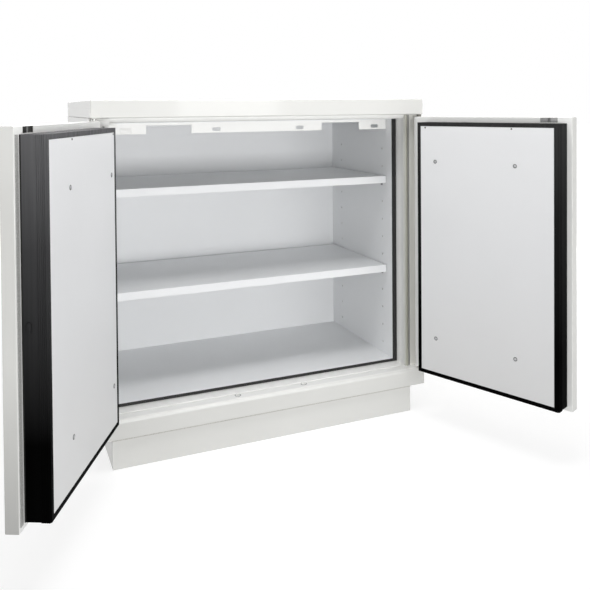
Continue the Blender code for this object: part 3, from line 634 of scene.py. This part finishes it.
# Placing the small hardware
FACE_BACK = Matrix.Rotation(-math.pi / 2, 4, "X")
FACE_FRONT = Matrix.Rotation(math.pi / 2, 4, "X")
FACE_OUT = {-1: Matrix.Rotation(-math.pi / 2, 4, "Y"), 1: Matrix.Rotation(math.pi / 2, 4, "Y")}


def on_cabinet(x, y, z):
    return Matrix.Translation((x, FRONT_Y + y, z))


def middle(low, high):
    return (low + high) / 2


def add_piece(name, mesh, matrix, body, material):
    piece = bpy.data.objects.new(name, mesh)
    bpy.context.scene.collection.objects.link(piece)
    piece.matrix_world = matrix
    mesh.materials.append(material)
    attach(piece, body)


# Panel fixings and screws on the inner face of each leaf
FIXING_X = {"left": (0.172, 0.497), "right": (0.162, 0.464)}
FIXING_Z = (0.312, 0.940)
EDGE_SCREW_X = {"left": (0.186, 0.516), "right": (0.174, 0.505)}
EDGE_SCREW_Z = 1.060
WASHER_RINGS = ((0.0070, 0.0), (0.0070, 0.0004), (0.0066, 0.0007))
FIXING_RINGS = (
    (0.0040, 0.0008),
    (0.0040, 0.0014),
    (0.0034, 0.0019),
    (0.0019, 0.0019, 6),
    (0.0017, 0.0011, 6),
)
SCREW_RINGS = (
    (0.0030, 0.0),
    (0.0028, 0.0008),
    (0.0018, 0.0012),
    (0.0012, 0.0012, 4),
    (0.0010, 0.0003, 4),
)
SCREW_FACETS = 16


def add_screw(name, matrix, body, material):
    add_piece(name, turned_mesh(name, SCREW_RINGS, SCREW_FACETS), matrix, body, material)


def add_panel_fixings(leaf):
    face = leaf.closed_box("inner_panel")[1].y
    for i, x in enumerate(FIXING_X[leaf.side]):
        for j, z in enumerate(FIXING_Z):
            name = f"{leaf.side}_panel_fixing_{i}{j}"
            matrix = leaf.place(x, face, z) @ FACE_BACK
            washer = turned_mesh(f"{name}_washer", WASHER_RINGS)
            add_piece(f"{name}_washer", washer, matrix, leaf.body, WASHER)
            add_piece(name, turned_mesh(name, FIXING_RINGS), matrix, leaf.body, ZINC)
    for i, x in enumerate(EDGE_SCREW_X[leaf.side]):
        matrix = leaf.place(x, face, EDGE_SCREW_Z) @ FACE_BACK
        add_screw(f"{leaf.side}_panel_screw_{i}", matrix, leaf.body, PIN)


# Bolt guides seen through the windows over the plugs
GUIDE_SIZE = (0.066, 0.001, 0.0165)
GUIDE_SLOT = (0.010, 0.0012, 0.0150)
GUIDE_EDGE = 0.0003
GUIDE_Y = 0.0243
GUIDE_TOP_GAP = 0.0025


def add_bolt_guide(leaf):
    rod_low, rod_high = leaf.closed_box("upper_rod")
    z = leaf.closed_box("door_panel")[1].z - GUIDE_TOP_GAP - GUIDE_SIZE[2] / 2
    matrix = leaf.place(middle(rod_low.x, rod_high.x), GUIDE_Y, z)
    # The left guide is black, painted shade filling its window; each guide's dark slot box is painted shade in the
    # slot
    slot, finish = ("steel", GUIDE) if leaf.sign > 0 else ("black_coat", DARK)
    name = f"{leaf.side}_bolt_guide"
    add_piece(name, box_mesh(name, GUIDE_SIZE, GUIDE_EDGE), matrix, leaf.body, finish)
    name = f"{leaf.side}_bolt_guide_slot"
    add_piece(name, box_mesh(name, GUIDE_SLOT, GUIDE_EDGE), matrix, leaf.body, WASHER)


# Dark strip at the root of each plug's free side: a painted shadow line
ROOT_DEPTH = 0.0034
ROOT_THICKNESS = 0.0006
ROOT_EDGE = 0.0001


def add_plug_root(leaf):
    low, high = leaf.closed_box("plug_frame")
    name = f"{leaf.side}_plug_root_shadow"
    size = (ROOT_THICKNESS, ROOT_DEPTH, high.z - low.z)
    matrix = leaf.place(low.x - ROOT_THICKNESS / 2, low.y + ROOT_DEPTH / 2, middle(low.z, high.z))
    add_piece(name, box_mesh(name, size, ROOT_EDGE), matrix, leaf.body, DARK)


# Cups in the base ledge that take the lower bolts, and a dark ring round each, a painted shadow gap
CUP_RINGS = (
    (0.0071, -0.0078),
    (0.0071, 0.0001),
    (0.0085, 0.0001),
    (0.0085, 0.0008),
    (0.0080, 0.0012),
    (0.0068, 0.0012),
    (0.0065, 0.0008),
    (0.0065, -0.0068),
)
CUP_FACETS = 32
SHADOW_RING_INNER = 0.0088
SHADOW_RING_OUTER = 0.0104
SHADOW_RING_HEIGHT = 0.0005


def add_bolt_cup(leaf):
    rod_low, rod_high = leaf.closed_box("lower_rod")
    x = middle(rod_low.x, rod_high.x)
    y = middle(rod_low.y, rod_high.y)
    matrix = on_cabinet(leaf.sign * x, y, BASE_TOP)
    name = f"{leaf.side}_bolt_cup"
    add_piece(name, turned_mesh(name, CUP_RINGS, CUP_FACETS), matrix, "cabinet", FRAME)
    name = f"{leaf.side}_bolt_cup_shadow_ring"
    shade_ring = ring_mesh(name, SHADOW_RING_INNER, SHADOW_RING_OUTER, SHADOW_RING_HEIGHT)
    add_piece(name, shade_ring, matrix, "cabinet", DARK)


# Lock cylinder and screws on the right leaf's lock plate
CYLINDER_Z = 0.580
CYLINDER_RINGS = ((0.0125, 0.0), (0.0125, 0.0028), (0.0115, 0.0040), (0.0088, 0.0040), (0.0084, 0.0032))
CYLINDER_FACETS = 40
KEY_SLOT = (0.0016, 0.0072, 0.0006)
KEY_SLOT_EDGE = 0.0002
PLATE_SCREW_INSET = 0.008


def add_lock_details(leaf):
    low, high = leaf.closed_box("lock_plate")
    x = middle(low.x, high.x)
    matrix = leaf.place(x, low.y, CYLINDER_Z) @ FACE_FRONT
    cylinder = turned_mesh("lock_cylinder", CYLINDER_RINGS, CYLINDER_FACETS)
    add_piece("lock_cylinder", cylinder, matrix, leaf.body, ZINC)
    # The key slot is a dark box, painted shade in the keyway
    raised = matrix @ Matrix.Translation((0, 0, CYLINDER_RINGS[-1][1] + KEY_SLOT[2] / 2))
    key_slot = box_mesh("lock_key_slot", KEY_SLOT, KEY_SLOT_EDGE)
    add_piece("lock_key_slot", key_slot, raised, leaf.body, DARK)
    for i, z in enumerate((low.z + PLATE_SCREW_INSET, high.z - PLATE_SCREW_INSET)):
        add_screw(f"lock_plate_screw_{i}", leaf.place(x, low.y, z) @ FACE_FRONT, leaf.body, PIN)


# Screws in the ends of the cover
COVER_SCREW_Y = (0.049, 0.696)
COVER_SCREW_Z = 1.136


def add_cover_screws(side, sign):
    for i, y in enumerate(COVER_SCREW_Y):
        matrix = on_cabinet(sign * COVER_END_X, y, COVER_SCREW_Z) @ FACE_OUT[sign]
        add_screw(f"{side}_cover_screw_{i}", matrix, "cabinet", ZINC)


# Small plates of the frame, each with its middle and its size: over the left seal's upper end, over the
# strip's left slot and in the left upper corner
FRAME_PLATES = {
    "left_seal_plate": ((-0.52485, 0.09275, 1.0791), (0.0285, 0.0007, 0.0203)),
    "strip_slot_plate": ((-0.4695, 0.1366, 1.0622), (0.038, 0.0006, 0.018)),
    "left_corner_plate": ((-0.5675, 0.0350, 1.0925), (0.060, 0.0008, 0.0250)),
}
PLATE_EDGE = 0.0002


def add_frame_plates():
    for name, (place, size) in FRAME_PLATES.items():
        plate = box_mesh(name, size, PLATE_EDGE)
        add_piece(name, plate, on_cabinet(*place), "cabinet", FRAME)


# Two studs before the left upper pivot
STUD_RINGS = ((0.0018, 0.0), (0.0018, 0.0006), (0.0013, 0.0010))
STUD_FACETS = 16
STUD_X = (0.5835, 0.5925)
STUD_Y = -0.0002
STUD_Z = 1.1022


def add_pivot_studs():
    for i, x in enumerate(STUD_X):
        name = f"left_pivot_stud_{i}"
        matrix = on_cabinet(-x, STUD_Y, STUD_Z) @ FACE_FRONT
        add_piece(name, turned_mesh(name, STUD_RINGS, STUD_FACETS), matrix, "cabinet", DARK)


# Joint under the base, round the head of the plinth, its grey also a painted shadow line under the base's overhang
JOINT_HEIGHT = 0.0065
JOINT_THICKNESS = 0.0005
JOINT_GAP = 0.0001


def add_plinth_joint():
    low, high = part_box("plinth_front_rail")
    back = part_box("plinth_left_rail")[1].y
    inner_x = high.x + JOINT_GAP
    inner_y = low.y - JOINT_GAP
    outer_x = inner_x + JOINT_THICKNESS
    outer_y = inner_y - JOINT_THICKNESS
    outline = [(-inner_x, back), (-outer_x, back), (-outer_x, outer_y), (outer_x, outer_y), (outer_x, back)]
    outline += [(inner_x, back), (inner_x, inner_y), (-inner_x, inner_y)]
    mesh = prism_mesh("plinth_joint_shade", outline, high.z - JOINT_HEIGHT, high.z)
    add_piece("plinth_joint_shade", mesh, Matrix.Identity(4), "cabinet", JOINT)


for leaf in LEAVES:
    add_panel_fixings(leaf)
    add_bolt_guide(leaf)
    add_plug_root(leaf)
    add_bolt_cup(leaf)
    add_cover_screws(leaf.side, leaf.sign)
add_lock_details(LEAVES[1])
add_frame_plates()
add_pivot_studs()
add_plinth_joint()

for node_name, node in NODES.items():
    finish_node(node_name, node)


# Stage
def seen_or_bounced(tree, seen, bounced):
    """One shader for rays from the camera, mirrored or sent through, another for light that bounces."""
    path = tree.nodes.new("ShaderNodeLightPath")
    mirrored = math_node(tree, "MAXIMUM", path.outputs["Is Camera Ray"], path.outputs["Is Glossy Ray"])
    straight = math_node(tree, "MAXIMUM", mirrored, path.outputs["Is Transmission Ray"])
    mix = tree.nodes.new("ShaderNodeMixShader")
    tree.links.new(straight, mix.inputs["Fac"])
    tree.links.new(bounced, mix.inputs[1])
    tree.links.new(seen, mix.inputs[2])
    return mix.outputs["Shader"]


def white_sky(tree, strength):
    node = tree.nodes.new("ShaderNodeBackground")
    node.inputs["Color"].default_value = (1, 1, 1, 1)
    node.inputs["Strength"].default_value = strength
    return node.outputs["Background"]


def diffuse(tree, level):
    node = tree.nodes.new("ShaderNodeBsdfDiffuse")
    node.inputs["Color"].default_value = (*grey(level), 1)
    return node.outputs["BSDF"]


def make_world():
    world = bpy.data.worlds.new("studio")
    bpy.context.scene.world = world
    tree = clear_tree(world)
    output = tree.nodes.new("ShaderNodeOutputWorld")
    sky = seen_or_bounced(tree, white_sky(tree, 1.0), white_sky(tree, AMBIENT))
    tree.links.new(sky, output.inputs["Surface"])


def floor_material():
    """Reads white, keeps a light shadow and bounces light as a pale floor does."""
    material = bpy.data.materials.new("pale_floor")
    tree = clear_tree(material)
    output = tree.nodes.new("ShaderNodeOutputMaterial")
    place = tree.nodes.new("ShaderNodeNewGeometry")
    reach = tree.nodes.new("ShaderNodeVectorMath")
    reach.operation = "LENGTH"
    tree.links.new(place.outputs["Position"], reach.inputs[0])
    glow = tree.nodes.new("ShaderNodeEmission")
    strength = spread(tree, reach.outputs["Value"], *FLOOR_GLOW, *FLOOR_FADE)
    tree.links.new(strength, glow.inputs["Strength"])
    lit = tree.nodes.new("ShaderNodeAddShader")
    tree.links.new(glow.outputs["Emission"], lit.inputs[0])
    tree.links.new(diffuse(tree, FLOOR_SHADE), lit.inputs[1])
    surface = seen_or_bounced(tree, lit.outputs["Shader"], diffuse(tree, FLOOR_BOUNCE))
    tree.links.new(surface, output.inputs["Surface"])
    return material


def make_floor():
    shape = bmesh.new()
    bmesh.ops.create_grid(shape, x_segments=1, y_segments=1, size=FLOOR_HALF)
    mesh = bpy.data.meshes.new("floor")
    shape.to_mesh(mesh)
    shape.free()
    mesh.materials.append(floor_material())
    floor = bpy.data.objects.new("floor", mesh)
    bpy.context.scene.collection.objects.link(floor)
    floor.location = (0, 0, CAD_LOW.z - FLOOR_GAP)


def add_softbox(name, watts, size, place, aim):
    data = bpy.data.lights.new(name, "AREA")
    data.shape = "RECTANGLE"
    data.size, data.size_y = size
    data.energy = watts
    lamp = bpy.data.objects.new(name, data)
    bpy.context.scene.collection.objects.link(lamp)
    lamp.visible_camera = False
    lamp.location = place
    lamp.rotation_euler = (Vector(aim) - Vector(place)).to_track_quat("-Z", "Y").to_euler()


def make_camera():
    data = bpy.data.cameras.new("camera")
    data.sensor_width = SENSOR_MM
    data.lens = SENSOR_MM * FOCAL_PIXELS / IMAGE_PIXELS
    data.shift_y = (AXIS_ROW_PIXELS - IMAGE_PIXELS / 2) / IMAGE_PIXELS
    camera = bpy.data.objects.new("camera", data)
    bpy.context.scene.collection.objects.link(camera)
    bpy.context.scene.camera = camera
    level = Vector((math.cos(CAMERA_YAW), -math.sin(CAMERA_YAW), 0))
    forward = Vector((math.sin(CAMERA_YAW), math.cos(CAMERA_YAW), 0)) * math.cos(CAMERA_PITCH)
    forward.z = -math.sin(CAMERA_PITCH)
    upright = level.cross(forward)
    across = level * math.cos(CAMERA_ROLL) - upright * math.sin(CAMERA_ROLL)
    upward = level * math.sin(CAMERA_ROLL) + upright * math.cos(CAMERA_ROLL)
    axes = Matrix((across, upward, -forward)).transposed().to_4x4()
    camera.matrix_world = Matrix.Translation(CAMERA_PLACE) @ axes


make_world()
make_floor()
for lamp_name, settings in SOFTBOXES.items():
    add_softbox(lamp_name, *settings)
make_camera()
bpy.context.scene.view_settings.view_transform = "Standard"
